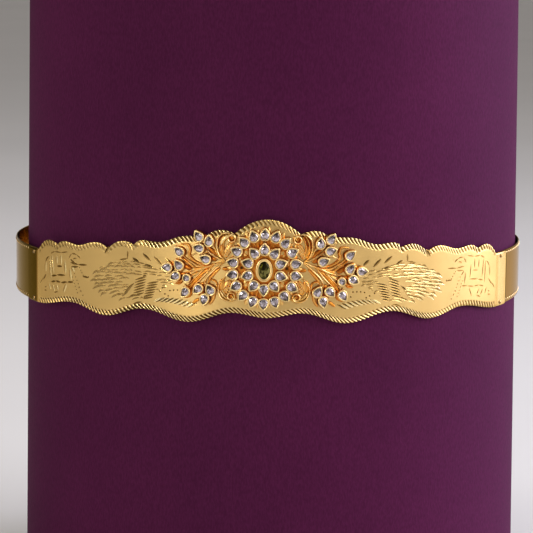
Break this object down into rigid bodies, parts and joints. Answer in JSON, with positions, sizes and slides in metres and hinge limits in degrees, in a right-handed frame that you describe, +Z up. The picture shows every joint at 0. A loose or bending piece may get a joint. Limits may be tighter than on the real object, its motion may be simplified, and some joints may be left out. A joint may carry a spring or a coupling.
{
  "type": "oddiyanam waist belt on display drum",
  "caption": "Rigid gold waist belt with a scalloped front plate, a stone-set flower and leafy sprays, closed round a plain display drum.",
  "frame": {"origin": "on the ground, on the axis of the belt's loop, in the plane of the drum's foot", "axes": "+Z up along the loop's axis, -Y out of the middle of the front plate, +X to the wearer's left as seen from the front"},
  "size_m": [0.24, 0.247, 0.3],
  "materials": {
    "gold_sheet": "polished gold-plated sheet with engraved figures",
    "gold_strap": "polished gold-plated strap with punched edges",
    "gold_casting": "cast and soldered gold-plated relief with deep orange recesses",
    "clear_stone": "faceted clear stone with a grey-lilac body",
    "green_stone": "faceted dark green stone",
    "drum_paper": "matt purple paper wrap"
  },
  "bodies": {
    "root": {"display_drum": "drum_paper", "front_plate": "gold_sheet", "left_strap": "gold_strap", "right_strap": "gold_strap", "back_clasp": "gold_strap", "left_upper_rivet": "gold_casting", "left_lower_rivet": "gold_casting", "right_upper_rivet": "gold_casting", "right_lower_rivet": "gold_casting", "flower_setting": "gold_casting", "left_spray_setting": "gold_casting", "right_spray_setting": "gold_casting", "centre_stone": "green_stone", "left_spray_stones": "clear_stone", "right_spray_stones": "clear_stone", "inner_stone_1": "clear_stone", "inner_stone_2": "clear_stone", "inner_stone_3": "clear_stone", "inner_stone_4": "clear_stone", "inner_stone_5": "clear_stone", "inner_stone_6": "clear_stone", "inner_stone_7": "clear_stone", "inner_stone_8": "clear_stone", "inner_stone_9": "clear_stone", "inner_stone_10": "clear_stone", "outer_stone_1": "clear_stone", "outer_stone_2": "clear_stone", "outer_stone_3": "clear_stone", "outer_stone_4": "clear_stone", "outer_stone_5": "clear_stone", "outer_stone_6": "clear_stone", "outer_stone_7": "clear_stone", "outer_stone_8": "clear_stone", "outer_stone_9": "clear_stone", "outer_stone_10": "clear_stone", "outer_stone_11": "clear_stone", "outer_stone_12": "clear_stone", "outer_stone_13": "clear_stone", "outer_stone_14": "clear_stone", "outer_stone_15": "clear_stone", "outer_stone_16": "clear_stone", "outer_stone_17": "clear_stone", "outer_stone_18": "clear_stone"}
  },
  "joints": []
}
